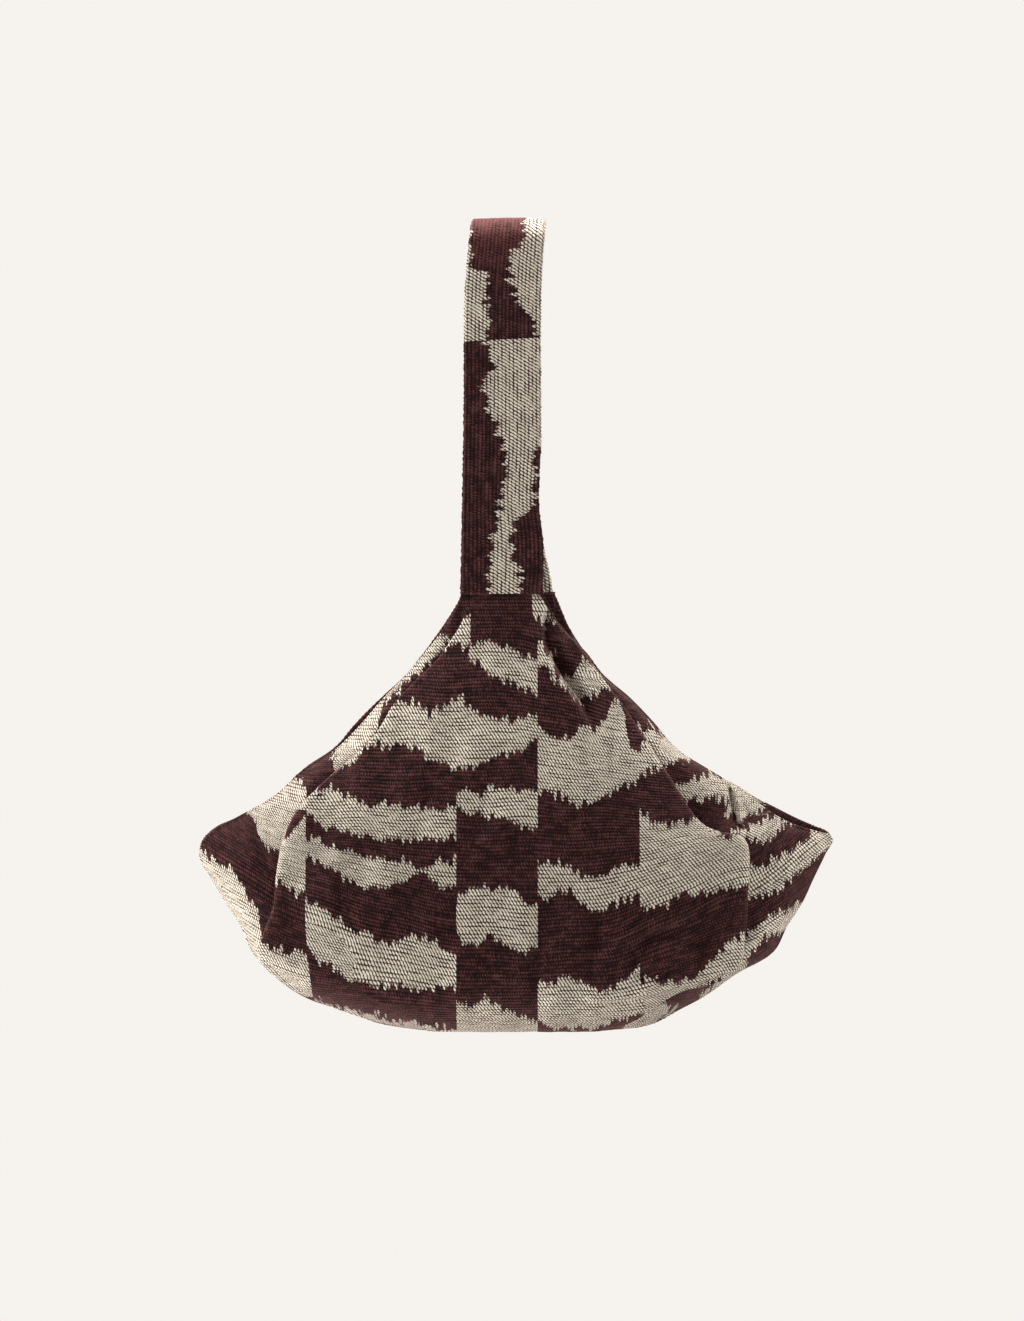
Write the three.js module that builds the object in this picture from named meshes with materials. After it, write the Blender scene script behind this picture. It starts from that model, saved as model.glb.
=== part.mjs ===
// A soft fabric carrier bag that hangs from one flat loop strap.
// Millimetres, +Z up, -Y to the front. The origin is the middle of the strap's inner top face,
// where a hook holds it.
import * as THREE from "three";

// Strap
const strapDrop = 219; // from the hook seat down to the mouth
const strapWidthTop = 44;
const strapWidthBase = 50;
const strapThickness = 4.6;
const sleeveWall = 1.5;
const strapLean = 4.5; // how far the base of the strap lies left of its top
const crownRadius = 11; // inner radius of the fold over the hook
const rootHeight = 32; // the stretch of each leg that bends
const coreWidth = 38;
const coreThickness = 1;

// Bag body. Heights are measured up from the bottom of the bag.
const bodyHeight = 264;
const mouthTopHalfWidth = 26;
const bottomHalfWidth = 44;
const bottomShift = 10; // the bottom's middle lies this far right of the strap's top
const clothThickness = 2;
const liningThickness = 1;
const mouthHalfGapTop = 10; // half the free gap between the lips, under the strap
const mouthHalfGapTip = 2.2;
const bellyEdgeShare = 0.86; // depth at the belly's side folds, as a share of its middle depth
const bellyCrownPower = 3.5;
const foldWidth = 5; // width of the steep step behind each side fold
const foldWidthMost = 0.35; // and no more than this share of a narrow wing
const wingLeast = 4; // the wing's least width beyond the fold
const wingBulgePower = 1.7; // how far out the valley keeps its depth
const wingEdgePower = 0.8; // how steeply the wing then falls to its edge
const backLipShift = 6; // the back panel's top lies this far right of the front's
const lipShiftRise = 74; // over this much of the height below its top
const lipShiftPower = 1.5;

const sides = {
  left: {
    sign: -1,
    tipReach: 186,
    tipHeight: 111,
    lowerPower: 0.34, // how full the closed edge is below the tip
    mouthPower: 1.4, // how deep the mouth's edge sags above it
    // height and reach of the fold that bounds the belly
    fold: [[0, 34], [12, 90], [35, 128], [56, 140], [99, 137], [131, 126], [162, 98], [211, 57], [264, 25]],
  },
  right: {
    sign: 1,
    tipReach: 194,
    tipHeight: 117,
    lowerPower: 0.43,
    mouthPower: 1.5,
    fold: [[0, 48], [14, 90], [40, 132], [61, 140], [99, 142], [120, 127], [176, 81], [211, 54], [264, 15]],
  },
};

// Half depth of the belly against height, seen from the side
const bellyProfile = [[0, 20], [5, 38], [20, 56], [62, 66], [130, 57], [200, 37], [264, 15]];
// Depth just behind the side folds, as a share of the belly's edge
const valleyShare = [[0, 1], [30, 0.95], [70, 0.6], [120, 0.6], [190, 0.75], [264, 1]];

// Fit
const layerGap = 0.3;
const seamGap = 0.3;
const hemWidth = 14;
const hemThickness = 1.2;
const hemMost = 0.6; // where a wing is narrow, the hem takes no more than this share of it

// Magnetic snap under the strap, one half inside each lip
const snapDrop = 12; // below the mouth's top edge
const snapRadius = 8;
const snapRim = 0.6;
const snapSides = 24;
const socketHeight = 2.4;
const socketHole = 3.4;
const socketDepth = 1.7;
const studBase = 1.2;
const studRadius = 3.1;
const studHeight = 1.5;
const washerRadius = 7;
const washerThickness = 0.5;
const stayThickness = 0.5;
const stayGap = 0.2;
const stayAcross = 0.9; // the stay's share of the lip's width under the strap

const bottomZ = -(strapDrop + bodyHeight);
const hemDepth = clothThickness + layerGap;
const liningDepth = hemDepth + hemThickness + layerGap;
const wallDepth = liningDepth + liningThickness;
const lipCentre = mouthHalfGapTop + wallDepth / 2;

const clamp = THREE.MathUtils.clamp;
const lerp = THREE.MathUtils.lerp;

// A smooth curve through [height, value] points that doesn't overshoot between them.
function smoothThrough(points) {
  const slopes = points.slice(1).map((p, i) => (p[1] - points[i][1]) / (p[0] - points[i][0]));
  const tangents = points.map((_, i) => {
    const before = slopes[Math.max(i - 1, 0)];
    const after = slopes[Math.min(i, slopes.length - 1)];
    return before * after <= 0 ? 0 : (2 * before * after) / (before + after);
  });
  return (height) => {
    const h = clamp(height, points[0][0], points.at(-1)[0]);
    let i = points.findIndex((p) => p[0] >= h);
    i = Math.max(i - 1, 0);
    const span = points[i + 1][0] - points[i][0];
    const s = (h - points[i][0]) / span;
    const rise = points[i + 1][1] - points[i][1];
    const entry = tangents[i] * span;
    const exit = tangents[i + 1] * span;
    const bend = 3 * rise - 2 * entry - exit;
    const twist = entry + exit - 2 * rise;
    return points[i][1] + s * entry + s ** 2 * bend + s ** 3 * twist;
  };
}

const bellyDepth = smoothThrough(bellyProfile);
const valleyDepthShare = smoothThrough(valleyShare);
for (const side of Object.values(sides)) side.foldReach = smoothThrough(side.fold);

// Reach of the bag's outline from x = 0 at a height: the closed edge below the wing tip, and the
// mouth's edge above it.
function outlineReach(side, height) {
  if (height <= side.tipHeight) {
    const base = bottomHalfWidth + side.sign * bottomShift;
    return lerp(base, side.tipReach, (height / side.tipHeight) ** side.lowerPower);
  }
  const top = mouthTopHalfWidth - side.sign * strapLean;
  const dropped = (bodyHeight - height) / (bodyHeight - side.tipHeight);
  return lerp(top, side.tipReach, 1 - (1 - dropped) ** (1 / side.mouthPower));
}

function mouthHalfGap(side, height) {
  const share = clamp((height - side.tipHeight) / (bodyHeight - side.tipHeight), 0, 1);
  return lerp(mouthHalfGapTip, mouthHalfGapTop, share);
}

// Height of a row at a share of the way across, so that one row runs through both wing tips.
function rowHeight(row, across) {
  const heights = [sides.left, sides.right].map((side) =>
    row.share <= 0 ? side.tipHeight * (1 + row.share) : lerp(side.tipHeight, bodyHeight, row.share),
  );
  return lerp(heights[0], heights[1], across);
}

// A point of one half of the bag. face is -1 at the front and 1 at the back, and depth is the
// distance in from the outside. A column is { side, out } on a wing, from 0 at the fold to 1 at the
// outline, or { side, inward } at a distance in from the outline, or { across } on the belly, from
// -1 to 1.
function bagPoint(face, row, column, depth) {
  const share = column.side ? (column.side.sign + 1) / 2 : (column.across + 1) / 2;
  const height = rowHeight(row, share);
  const raised = height + depth * (1 - clamp(height / sides.left.tipHeight, 0, 1));
  const closed = row.share <= 0;
  const inset = closed ? depth : 0;
  const middle = bellyDepth(height) - depth;
  const reach = (side) => {
    const outline = outlineReach(side, height) - inset;
    const fold = Math.min(side.foldReach(height), outline - wingLeast) - Math.min(depth, clothThickness);
    return { outline, fold };
  };
  let x;
  let y;
  if (column.side) {
    const { outline, fold } = reach(column.side);
    const valley = fold + Math.min(foldWidth, foldWidthMost * (outline - fold));
    const inward = Math.min(column.inward / (outline - valley), (hemMost * column.inward) / hemWidth);
    const out = column.out ?? 1 - inward;
    x = column.side.sign * lerp(valley, outline, out);
    const edge = closed ? seamGap / 2 : mouthHalfGap(column.side, height) + wallDepth - depth;
    const valleyDepth = middle * bellyEdgeShare * valleyDepthShare(height);
    y = lerp(edge, Math.max(valleyDepth, edge), (1 - out ** wingBulgePower) ** wingEdgePower);
  } else {
    const left = -reach(sides.left).fold;
    const right = reach(sides.right).fold;
    x = lerp(left, right, (column.across + 1) / 2);
    y = middle * (1 - (1 - bellyEdgeShare) * Math.abs(column.across) ** bellyCrownPower);
  }
  if (row.keel) y = seamGap / 2;
  if (face > 0) {
    const risen = clamp((height - bodyHeight + lipShiftRise) / lipShiftRise, 0, 1);
    x += backLipShift * risen ** lipShiftPower;
  }
  return new THREE.Vector3(x, face * y, bottomZ + raised);
}

// A closed solid between two grids of points of the same size.
function solidBetween(outer, inner) {
  const rows = outer.length;
  const columns = outer[0].length;
  const positions = [...outer.flat(), ...inner.flat()].flatMap((p) => [p.x, p.y, p.z]);
  const at = (layer, j, i) => layer * rows * columns + j * columns + i;
  const faces = [];
  const quad = (a, b, c, d) => faces.push(a, b, c, a, c, d);
  for (let j = 0; j + 1 < rows; j++)
    for (let i = 0; i + 1 < columns; i++) {
      quad(at(0, j, i), at(0, j, i + 1), at(0, j + 1, i + 1), at(0, j + 1, i));
      quad(at(1, j, i), at(1, j + 1, i), at(1, j + 1, i + 1), at(1, j, i + 1));
    }
  for (let i = 0; i + 1 < columns; i++) {
    quad(at(1, 0, i), at(1, 0, i + 1), at(0, 0, i + 1), at(0, 0, i));
    quad(at(0, rows - 1, i), at(0, rows - 1, i + 1), at(1, rows - 1, i + 1), at(1, rows - 1, i));
  }
  for (let j = 0; j + 1 < rows; j++) {
    quad(at(0, j, 0), at(0, j + 1, 0), at(1, j + 1, 0), at(1, j, 0));
    const end = columns - 1;
    quad(at(0, j, end), at(1, j, end), at(1, j + 1, end), at(0, j + 1, end));
  }
  return facingOut(positions, faces);
}

// A geometry from points and triangles, turned so that its faces point out.
function facingOut(positions, faces) {
  const p = (k) => new THREE.Vector3().fromArray(positions, 3 * k);
  let volume = 0;
  for (let f = 0; f < faces.length; f += 3) {
    volume += p(faces[f]).dot(p(faces[f + 1]).cross(p(faces[f + 2])));
  }
  if (volume < 0) faces.reverse();
  const geometry = new THREE.BufferGeometry();
  geometry.setAttribute("position", new THREE.Float32BufferAttribute(positions, 3));
  geometry.setIndex(faces);
  geometry.computeVertexNormals();
  return geometry;
}

// Rows from the keel under the bag to the mouth. share is -1 at the bottom, 0 at the wing tips and
// 1 at the top.
const bagRows = [
  { share: -1, keel: true },
  ...[-1, -0.985, -0.95, -0.88, -0.78, -0.64, -0.48, -0.3, -0.14, 0].map((share) => ({ share })),
  ...[0.035, 0.1, 0.19, 0.3, 0.42, 0.55, 0.69, 0.84, 1].map((share) => ({ share })),
];
const hemInward = [0, 0.35 * hemWidth, hemWidth];
const wingColumns = (side) => [
  ...hemInward.map((inward) => ({ side, inward })),
  ...[0.3, 0].map((out) => ({ side, out })),
];
const middleColumn = 0.18;
const halfBelly = [middleColumn, 0.5, 0.78, 0.93, 1];
const bagColumns = [
  ...wingColumns(sides.left),
  ...halfBelly.toReversed().map((across) => ({ across: -across })),
  ...halfBelly.map((across) => ({ across })),
  ...wingColumns(sides.right).toReversed(),
];

// A layer over some of the bag's rows and columns, between two depths in from the outside.
function bagLayer(face, outside, inside, rows = bagRows, columns = bagColumns) {
  const line = (row, depth) => columns.map((column) => bagPoint(face, row, column, depth));
  const grid = (depth) => rows.map((row) => line(row, depth));
  return solidBetween(grid(outside), grid(inside));
}

// The turned-in hem behind one lip, from the wing tip up to the strap.
function hem(face, side) {
  const rows = bagRows.filter((row) => row.share > 0);
  const columns = bagColumns.filter((column) => column.side === side && column.inward !== undefined);
  return bagLayer(face, hemDepth, hemDepth + hemThickness, rows, columns);
}

// Points around a flattened tube's section, with rounded edges.
function bandSection(width, thickness) {
  const radius = thickness / 2;
  const half = width / 2 - radius;
  const steps = 4;
  const arc = (centre, start) =>
    Array.from({ length: steps + 1 }, (_, k) => {
      const angle = start + (Math.PI * k) / steps;
      return [centre + radius * Math.cos(angle), radius * Math.sin(angle)];
    });
  return [...arc(half, -Math.PI / 2), ...arc(-half, Math.PI / 2)];
}

// The strap's line seen from the side: up the front leg, over the crown and down the back leg.
function strapLine() {
  const centreRadius = crownRadius + strapThickness / 2;
  const crownZ = -crownRadius;
  const legEnd = -strapDrop + rootHeight + layerGap;
  const legSteps = 5;
  const crownSteps = 13; // odd, so that one flat facet faces down onto the hook
  const line = [];
  for (let k = 0; k < legSteps; k++) {
    const s = k / legSteps;
    line.push({ y: -lerp(lipCentre, centreRadius, s), z: lerp(legEnd, crownZ, s), turn: 0 });
  }
  for (let k = 0; k <= crownSteps; k++) {
    const angle = (Math.PI * k) / crownSteps;
    const y = -centreRadius * Math.cos(angle);
    line.push({ y, z: crownZ + centreRadius * Math.sin(angle), turn: angle });
  }
  for (let k = legSteps - 1; k >= 0; k--) {
    const s = k / legSteps;
    line.push({ y: lerp(lipCentre, centreRadius, s), z: lerp(legEnd, crownZ, s), turn: Math.PI });
  }
  return line;
}

function strapCentreX(z) {
  return -strapLean * clamp(-z / strapDrop, 0, 1);
}

function strapWidth(z) {
  return lerp(strapWidthTop, strapWidthBase, clamp(-z / strapDrop, 0, 1));
}

// Sections of a band carried along the strap's line. inset is taken off the strap's own section all round.
function carriedSections(line, sectionAt) {
  return line.map((station) =>
    sectionAt(station).map(([across, out]) => {
      const y = station.y - out * Math.cos(station.turn);
      const z = station.z + out * Math.sin(station.turn);
      return new THREE.Vector3(strapCentreX(station.z) + across, y, z);
    }),
  );
}

// The strap's own section, or one set in from it all round.
function strapSection(inset) {
  return (station) => bandSection(strapWidth(station.z) - 2 * inset, strapThickness - 2 * inset);
}

// A tube with a wall: outer and inner sections joined by flat rims at both ends.
function tubeBetween(outer, inner) {
  const count = outer[0].length;
  const positions = [...outer.flat(), ...inner.flat()].flatMap((p) => [p.x, p.y, p.z]);
  const at = (layer, j, i) => (layer * outer.length + j) * count + (i % count);
  const faces = [];
  const quad = (a, b, c, d) => faces.push(a, b, c, a, c, d);
  const last = outer.length - 1;
  for (let i = 0; i < count; i++) {
    for (let j = 0; j < last; j++) {
      quad(at(0, j, i), at(0, j, i + 1), at(0, j + 1, i + 1), at(0, j + 1, i));
      quad(at(1, j, i), at(1, j + 1, i), at(1, j + 1, i + 1), at(1, j, i + 1));
    }
    quad(at(1, 0, i), at(1, 0, i + 1), at(0, 0, i + 1), at(0, 0, i));
    quad(at(0, last, i), at(0, last, i + 1), at(1, last, i + 1), at(1, last, i));
  }
  return facingOut(positions, faces);
}

function strapSleeve() {
  const line = strapLine();
  const sections = (inset) => carriedSections(line, strapSection(inset));
  return tubeBetween(sections(0), sections(sleeveWall));
}

// The webbing inside the sleeve, a flat band between two grids.
function strapCore() {
  const line = strapLine();
  const face = (out) => (station) => [-coreWidth / 2, coreWidth / 2].map((across) => [across, out]);
  return solidBetween(
    carriedSections(line, face(coreThickness / 2)),
    carriedSections(line, face(-coreThickness / 2)),
  );
}

// The foot of one leg, which bends when the strap folds over. It stands on the lip.
function strapRoot(face) {
  const top = -strapDrop + rootHeight;
  const heights = [0, 0.25, 0.5, 0.75, 1].map((s) => lerp(-strapDrop + layerGap, top, s));
  const shift = (z) => (face > 0 ? backLipShift * clamp((top - z) / rootHeight, 0, 1) : 0);
  const sections = heights.map((z) =>
    bandSection(strapWidth(z), strapThickness).map(
      ([across, out]) => new THREE.Vector3(strapCentreX(z) + shift(z) + across, face * lipCentre + out, z),
    ),
  );
  const count = sections[0].length;
  const positions = sections.flat().flatMap((p) => [p.x, p.y, p.z]);
  const faces = [];
  for (let j = 0; j + 1 < sections.length; j++)
    for (let i = 0; i < count; i++) {
      const a = j * count + i;
      const b = j * count + ((i + 1) % count);
      faces.push(a, b, b + count, a, b + count, a + count);
    }
  const last = (sections.length - 1) * count;
  for (let i = 1; i + 1 < count; i++) faces.push(0, i + 1, i, last, last + i, last + i + 1);
  return facingOut(positions, faces);
}

// The cloth stay behind one foot of the strap, from the mouth's top edge down past the snap.
function stay(face) {
  const rows = bagRows.slice(-2);
  const columns = bagColumns.filter((column) => Math.abs(column.across) < stayAcross);
  const outside = hemDepth + washerThickness + stayGap;
  return bagLayer(face, outside, outside + stayThickness, rows, columns);
}

// Where the snap sits on one lip: a point at a depth in from the outside, and the way in there. The
// lip is flat between the two columns next to its middle.
function snapSeat(face, depth) {
  const [lower, upper] = bagRows.slice(-2);
  const corner = (row, sign) => bagPoint(face, row, { across: sign * middleColumn }, depth);
  const [a, b, c, d] = [corner(lower, -1), corner(lower, 1), corner(upper, 1), corner(upper, -1)];
  const inward = new THREE.Vector3().crossVectors(b.clone().sub(a), d.clone().sub(a)).normalize();
  if (inward.y * face > 0) inward.negate();
  const bottom = a.clone().lerp(b, 0.5);
  const top = d.clone().lerp(c, 0.5);
  const down = snapDrop / top.distanceTo(bottom);
  return { point: top.lerp(bottom, down), inward };
}

// A round part on the snap's axis, from radii against distance in from its seat.
function snapPart(face, depth, profile) {
  const { point, inward } = snapSeat(face, depth);
  const outline = profile.map(([radius, along]) => new THREE.Vector2(radius, along));
  const geometry = new THREE.LatheGeometry(outline, snapSides);
  const turn = new THREE.Quaternion().setFromUnitVectors(new THREE.Vector3(0, 1, 0), inward);
  geometry.applyQuaternion(turn);
  geometry.translate(point.x, point.y, point.z);
  return geometry;
}

// Half section of a round plate with bevelled edges, without the closing point on its axis.
function roundPlate(radius, height) {
  const bevel = snapRim / 2;
  return [[0, 0], [radius - bevel, 0], [radius, bevel], [radius, height - bevel], [radius - bevel, height]];
}

const snapProfiles = {
  socket: [
    ...roundPlate(snapRadius, socketHeight),
    [socketHole, socketHeight],
    [socketHole, socketHeight - socketDepth],
    [0, socketHeight - socketDepth],
  ],
  stud: [
    ...roundPlate(snapRadius, studBase),
    [studRadius, studBase],
    [studRadius, studBase + studHeight - snapRim],
    [studRadius - snapRim, studBase + studHeight],
    [0, studBase + studHeight],
  ],
  washer: [[0, 0], [washerRadius, 0], [washerRadius, washerThickness], [0, washerThickness]],
};

const colours = {
  cloth: 0x6b5650,
  lining: 0x8a7f73,
  webbing: 0x4a3a38,
  metal: 0xb9b4aa,
};
const bag = new THREE.Group();

function add(name, geometry, colour, roughness = 0.9, metalness = 0) {
  const material = new THREE.MeshStandardMaterial({ color: colour, roughness, metalness });
  const mesh = new THREE.Mesh(geometry, material);
  mesh.name = name;
  bag.add(mesh);
}

for (const [name, face] of [["front", -1], ["back", 1]]) {
  add(`${name}_panel`, bagLayer(face, 0, clothThickness), colours.cloth);
  add(`${name}_lining`, bagLayer(face, liningDepth, wallDepth), colours.lining);
  for (const [sideName, side] of Object.entries(sides))
    add(`${name}_${sideName}_hem`, hem(face, side), colours.cloth);
  add(`strap_root_${name}`, strapRoot(face), colours.cloth);
  add(`${name}_stay`, stay(face), colours.webbing);
  add(`snap_washer_${name}`, snapPart(face, hemDepth, snapProfiles.washer), colours.metal, 0.35, 1);
}
add("snap_socket", snapPart(-1, wallDepth + layerGap, snapProfiles.socket), colours.metal, 0.35, 1);
add("snap_stud", snapPart(1, wallDepth + layerGap, snapProfiles.stud), colours.metal, 0.35, 1);
add("strap_sleeve", strapSleeve(), colours.cloth);
add("strap_core", strapCore(), colours.webbing);

export default bag;
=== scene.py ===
import math

import bpy
import numpy as np
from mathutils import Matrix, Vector


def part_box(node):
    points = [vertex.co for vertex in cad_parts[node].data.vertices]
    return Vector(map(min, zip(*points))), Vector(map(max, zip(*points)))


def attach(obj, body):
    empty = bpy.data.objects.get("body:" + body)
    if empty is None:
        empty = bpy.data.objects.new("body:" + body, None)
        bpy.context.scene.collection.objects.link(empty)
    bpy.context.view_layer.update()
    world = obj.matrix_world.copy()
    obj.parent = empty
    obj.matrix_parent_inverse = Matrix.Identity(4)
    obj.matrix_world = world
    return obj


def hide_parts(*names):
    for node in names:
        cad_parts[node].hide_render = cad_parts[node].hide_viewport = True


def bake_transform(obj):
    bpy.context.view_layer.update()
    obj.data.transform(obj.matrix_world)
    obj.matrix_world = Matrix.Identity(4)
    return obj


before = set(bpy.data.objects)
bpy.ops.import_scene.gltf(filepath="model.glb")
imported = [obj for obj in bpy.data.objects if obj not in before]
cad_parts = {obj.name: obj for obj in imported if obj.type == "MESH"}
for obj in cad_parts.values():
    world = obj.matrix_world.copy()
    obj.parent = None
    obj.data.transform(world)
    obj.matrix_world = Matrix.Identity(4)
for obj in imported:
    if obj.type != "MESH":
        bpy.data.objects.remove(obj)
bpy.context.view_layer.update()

print("frame loaded:", len(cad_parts), "nodes")

# Lengths are worked out in millimetres and written to the meshes in metres.
# The bag's own coordinates are across (+X), depth out from the middle plane, and height above its bottom.
mm = 0.001
tiny = 1e-9  # the least that anything is divided by
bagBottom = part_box("front_panel")[0][2] / mm
ribPitch = 2.25
ribMiddle = 0.6  # the level in a rib's profile that lies on the surface


# Camera and room

view = {
    "millimetrePerPixel": 0.6,
    "imageSize": (1024, 1321),
    "hookSeat": (509, 226),  # the origin's place in the picture, in pixels
    "distance": 3200,
    "sensor": 36,
}

room = {
    "backdrop": (0.922, 0.888, 0.856),
    "floor": (0.62, 0.60, 0.58),
    "ambient": (0.90, 0.92, 0.95),
    "ambientStrength": 0.15,
    "floorDrop": 725,
    "floorRadius": (0.5, 420),
    "floorPoints": (8, 48),  # rings, and points on each
    "floorClear": 0.4,  # how much of the backdrop shows through the floor and its shadow
    "floorFade": (0.5, 0.98),  # where it starts to fade and is gone, as shares of its radius
    "lampTarget": (0, 0, -300),
    "lamps": [
        # name, place in mm, size in mm, power in watts
        ("leftLamp", (-1400, -380, -850), 700, 42),
        ("rightLamp", (1500, -350, -500), 700, 24),
        ("topLamp", (-40, 40, 500), 260, 13),
        ("frontLamp", (-600, -2200, 700), 600, 9),
        ("backLamp", (300, 1700, 500), 1000, 18),
    ],
}


def addObject(name, data):
    made = bpy.data.objects.new(name, data)
    bpy.context.collection.objects.link(made)
    return made


def makeCamera():
    # Level, straight in front of the middle of the picture
    scale = view["millimetrePerPixel"]
    width, height = view["imageSize"]
    seatX, seatY = view["hookSeat"]
    lens = bpy.data.cameras.new("camera")
    lens.sensor_fit = "HORIZONTAL"
    lens.sensor_width = view["sensor"]
    lens.lens = view["sensor"] * view["distance"] / (scale * width)
    camera = addObject("camera", lens)
    place = [(width / 2 - seatX) * scale, -view["distance"], (seatY - height / 2) * scale]
    camera.location = np.array(place) * mm
    camera.rotation_euler = (math.radians(90), 0, 0)
    bpy.context.scene.camera = camera


# Shader maths

def operator(operation, swapped=False):
    # A method that adds a Math node for the socket and other values, which come first when swapped.
    def add(self, *others):
        return self.paint.maths(operation, *((*others, self) if swapped else (self, *others)))
    return add


class Wire:
    # A shader socket that takes part in Python sums.
    __add__ = operator("ADD")
    __radd__ = operator("ADD", swapped=True)
    __sub__ = operator("SUBTRACT")
    __rsub__ = operator("SUBTRACT", swapped=True)
    __mul__ = operator("MULTIPLY")
    __rmul__ = operator("MULTIPLY", swapped=True)
    __truediv__ = operator("DIVIDE")
    __rtruediv__ = operator("DIVIDE", swapped=True)
    __abs__ = operator("ABSOLUTE")
    floor = operator("FLOOR")
    sine = operator("SINE")
    most = operator("MAXIMUM")

    def __init__(self, paint, socket):
        self.paint = paint
        self.socket = socket

    def hump(self):
        # |sin(pi t)|, which is 0 at each whole number and 1 half way between them
        return abs((self * math.pi).sine())

    def sway(self, reach):
        # a noise's swing about its middle, from -reach/2 to reach/2
        return (self - 0.5) * reach

    def above(self, least):
        # what goes from 0 to 1 goes from least to 1
        return self * (1 - least) + least

    def step(self, low, high):
        # 0 below low, 1 above high and smooth between them
        settings = {"interpolation_type": "SMOOTHSTEP"}
        return self.paint.node("ShaderNodeMapRange", settings, {0: self, 1: low, 2: high})


class Paint:
    # The nodes of one material, or of the world.
    def __init__(self, owner):
        owner.use_nodes = True
        self.owner = owner
        self.tree = owner.node_tree
        self.tree.nodes.clear()

    def node(self, kind, settings=None, sockets=None, out=0):
        made = self.tree.nodes.new(kind)
        for name, value in (settings or {}).items():
            setattr(made, name, value)
        for key, value in (sockets or {}).items():
            if isinstance(value, Wire):
                self.tree.links.new(value.socket, made.inputs[key])
            else:
                made.inputs[key].default_value = value
        return None if out is None else Wire(self, made.outputs[out])

    def mix(self, share, first, second):
        # of two colours, which are the node's inputs 6 and 7 and its output 2
        return self.node("ShaderNodeMix", {"data_type": "RGBA"}, {0: share, 6: first, 7: second}, 2)

    def maths(self, operation, *values):
        return self.node("ShaderNodeMath", {"operation": operation}, dict(enumerate(values)))

    def stretch(self, vector, by):
        return self.node("ShaderNodeVectorMath", {"operation": "MULTIPLY"}, {0: vector, 1: by})

    def noise(self, vector, scale, detail=2.0, rough=0.5):
        sockets = {"Vector": vector, "Scale": scale, "Detail": detail, "Roughness": rough}
        return self.node("ShaderNodeTexNoise", {"normalize": True}, sockets)

    def flatNoise(self, x, y, detail, rough=0.5):
        return self.noise(self.node("ShaderNodeCombineXYZ", {}, {0: x, 1: y}), 1.0, detail, rough)

    def objectPlace(self):
        return self.node("ShaderNodeTexCoord", {}, {}, "Object")

    def split(self, vector, axes):
        return [self.node("ShaderNodeSeparateXYZ", {}, {0: vector}, axis) for axis in axes]

    def bump(self, height, distance, strength):
        sockets = {"Height": height, "Distance": distance, "Strength": strength}
        return self.node("ShaderNodeBump", {}, sockets)

    def finish(self, sockets):
        surface = self.node("ShaderNodeBsdfPrincipled", {}, sockets)
        self.node("ShaderNodeOutputMaterial", {}, {"Surface": surface}, None)
        return self.owner


# Shapes

def smoothCurve(points, count=500):
    # Cubic pieces through the points, timed by the distance between them, with each point's mean slope.
    points = np.array(points, float)
    gaps = np.linalg.norm(np.diff(points, axis=0), axis=1)
    times = np.concatenate([[0.0], np.cumsum(gaps)])
    slopes = np.gradient(points, times, axis=0)
    at = np.linspace(0.0, times[-1], count)
    k = np.clip(np.searchsorted(times, at, "right") - 1, 0, len(gaps) - 1)
    span = gaps[k][:, None]
    s = (at - times[k])[:, None] / span
    rise = points[k + 1] - points[k]
    entry = slopes[k] * span
    leave = slopes[k + 1] * span
    bend = 3 * rise - 2 * entry - leave
    twist = entry + leave - 2 * rise
    return points[k] + s * entry + s**2 * bend + s**3 * twist


def readOff(points, at):
    # The value at a place of the smooth curve through (place, value) points, level beyond its ends.
    places, values = smoothCurve(points).T
    return np.interp(at, places, values)


def clamp(x):
    # x, but no less than 0 and no more than 1
    return np.clip(x, 0.0, 1.0)


def smoothStep(low, high, x):
    # 0 below low, 1 above high, and 3t^2 - 2t^3 between them
    t = clamp((x - low) / (high - low))
    return t * t * (3 - 2 * t)


def blendIn(first, second, share):
    return first + (second - first) * share


def between(x, rise, fall):
    # 1 between two smooth steps, and 0 outside them
    return smoothStep(*rise, x) * (1 - smoothStep(*fall, x))


def ripple(a, b, seed, waves=6, slowest=0.6, spread=0.8, gain=1.6):
    # Smooth noise from about -1 to 1: the mean of sine waves in chance directions, a and b in wavelengths.
    dice = np.random.default_rng(seed)
    total = np.zeros(np.broadcast(a, b).shape)
    for turn, phase, pace in dice.uniform(0.0, 1.0, (waves, 3)):
        angle = math.tau * turn
        reach = a * math.cos(angle) + b * math.sin(angle)
        total += np.sin(math.tau * ((slowest + spread * pace) * reach + phase))
    return total / waves * gain


def bell(x, centre, width):
    # a bump of height 1 with the given half width
    return np.exp(-(((x - centre) / width) ** 2))


def gridNormals(points):
    # The cross product of a grid's two directions, made one long.
    along = np.gradient(points, axis=1)
    up = np.gradient(points, axis=0)
    normal = np.cross(along, up)
    return normal / np.maximum(np.linalg.norm(normal, axis=2, keepdims=True), tiny)


def gridFaces(rows, columns, ring=False):
    # Corner numbers of each quad of a grid of points. A ring also joins its last column to its first.
    j = np.arange(rows - 1)[:, None]
    i = np.arange(columns if ring else columns - 1)[None, :]
    after = (i + 1) % columns
    quads = [j * columns + i, j * columns + after, (j + 1) * columns + after, (j + 1) * columns + i]
    return np.stack(np.broadcast_arrays(*quads), axis=-1)


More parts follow.
